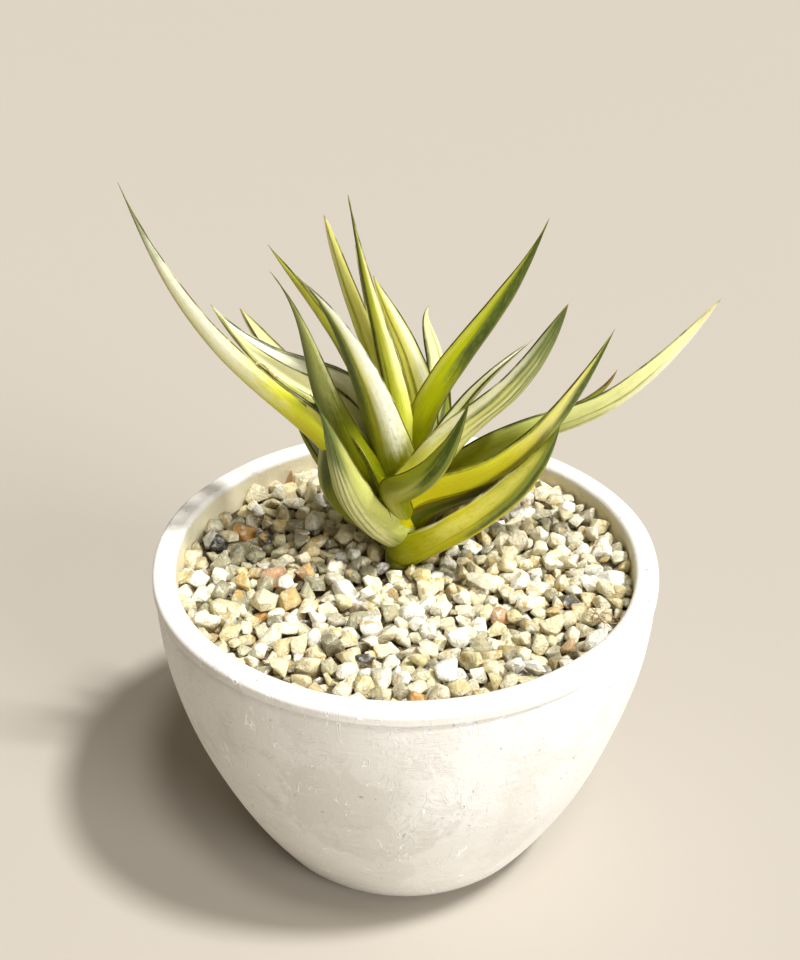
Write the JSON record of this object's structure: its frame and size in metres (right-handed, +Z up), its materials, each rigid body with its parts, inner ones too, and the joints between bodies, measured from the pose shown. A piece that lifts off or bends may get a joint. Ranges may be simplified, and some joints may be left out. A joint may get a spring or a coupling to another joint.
{
  "type": "potted snake plant",
  "caption": "Small variegated snake plant with clasping, channelled, pointed leaves, growing from a short stalk in a round tapered pot dressed with quartz gravel.",
  "frame": {"origin": "centre of the pot's flat underside, where it stands on a table", "axes": "+Z up along the pot's axis, -Y towards the plant's front, +X to its right"},
  "size_m": [0.163, 0.15, 0.209],
  "materials": {
    "pot_cement": "matte",
    "soil": "matte",
    "gravel": "satin",
    "stalk": "satin",
    "leaf": "satin"
  },
  "bodies": {
    "root": {"pot": "pot_cement", "potting_soil": "soil", "gravel_top_dressing": "gravel", "rhizome_and_stalk": "stalk", "leaf_centre_tall": "leaf", "leaf_centre_right": "leaf", "leaf_back_upright": "leaf", "leaf_back_pale": "leaf", "leaf_centre_left": "leaf", "leaf_brown_point": "leaf", "leaf_upper_right": "leaf", "leaf_upper_left": "leaf", "leaf_front_broad": "leaf", "leaf_right_cream": "leaf", "leaf_left_yellow": "leaf", "leaf_right_mottled": "leaf", "leaf_left_cream": "leaf", "leaf_back_left_inner": "leaf", "leaf_left_grey": "leaf", "leaf_back_right_inner": "leaf", "leaf_far_right_long": "leaf", "leaf_right_brown_tip": "leaf", "leaf_left_dried_tip": "leaf", "leaf_right_broad": "leaf", "leaf_far_left_long": "leaf", "leaf_front_small": "leaf", "leaf_back_left_low": "leaf", "leaf_left_low_hidden": "leaf", "leaf_right_low_inner": "leaf", "leaf_back_right_low": "leaf", "leaf_left_low_inner": "leaf", "leaf_front_left_low": "leaf", "leaf_front_right_low": "leaf"}
  },
  "joints": []
}
